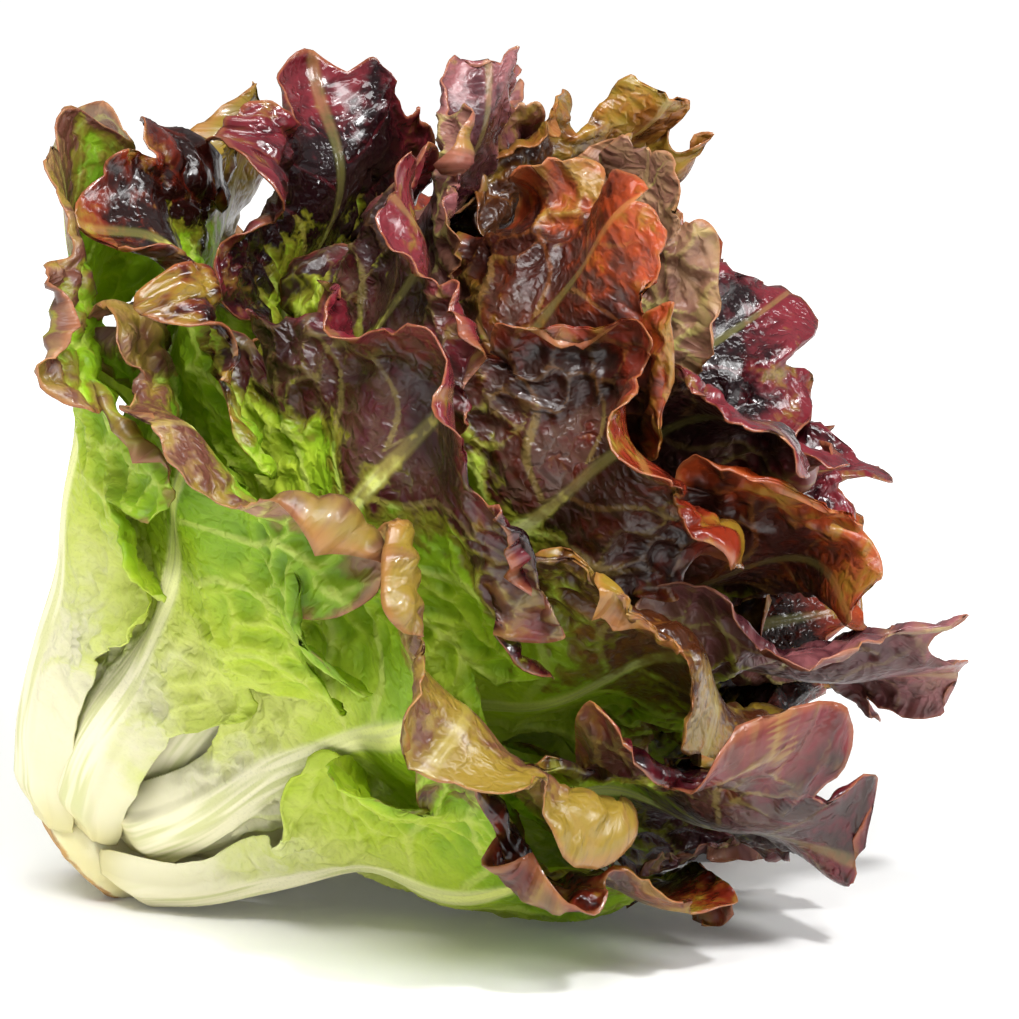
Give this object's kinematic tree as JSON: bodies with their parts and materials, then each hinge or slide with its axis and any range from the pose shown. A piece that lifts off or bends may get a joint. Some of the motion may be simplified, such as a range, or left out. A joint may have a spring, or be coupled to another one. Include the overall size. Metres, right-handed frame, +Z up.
{
  "type": "red leaf lettuce",
  "caption": "Whole head of red leaf lettuce with a cut butt, pale ribs and ruffled green and dark red leaves, lying on its side.",
  "frame": {"origin": "centre of the underside of the box round the lying head, on the surface that it rests on", "axes": "+Z up; the stem's axis lies in the XZ plane's direction, rising 42 degrees from the butt at -X towards the leaf tips at +X; -Y faces the camera of the picture"},
  "size_m": [0.2576, 0.2936, 0.231],
  "materials": {
    "stem": "moist cut flesh",
    "heart": "young leaf, soft sheen",
    "outer_leaf": "blistered leaf, soft sheen",
    "middle_leaf": "blistered leaf, glossy above",
    "inner_leaf": "blistered leaf, glossy above"
  },
  "bodies": {
    "root": {"stem": "stem", "heart": "heart", "outer_leaf_01": "outer_leaf", "outer_leaf_02": "outer_leaf", "outer_leaf_03": "outer_leaf", "outer_leaf_04": "outer_leaf", "outer_leaf_05": "outer_leaf", "outer_leaf_06": "outer_leaf", "outer_leaf_07": "outer_leaf", "outer_leaf_08": "outer_leaf", "outer_leaf_09": "outer_leaf", "outer_leaf_10": "outer_leaf", "outer_leaf_11": "outer_leaf", "middle_leaf_01": "middle_leaf", "middle_leaf_02": "middle_leaf", "middle_leaf_03": "middle_leaf", "middle_leaf_04": "middle_leaf", "middle_leaf_05": "middle_leaf", "middle_leaf_06": "middle_leaf", "middle_leaf_07": "middle_leaf", "middle_leaf_08": "middle_leaf", "middle_leaf_09": "middle_leaf", "middle_leaf_10": "middle_leaf", "middle_leaf_11": "middle_leaf", "inner_leaf_01": "inner_leaf", "inner_leaf_02": "inner_leaf", "inner_leaf_03": "inner_leaf", "inner_leaf_04": "inner_leaf", "inner_leaf_05": "inner_leaf", "inner_leaf_06": "inner_leaf", "inner_leaf_07": "inner_leaf", "inner_leaf_08": "inner_leaf"}
  },
  "joints": []
}
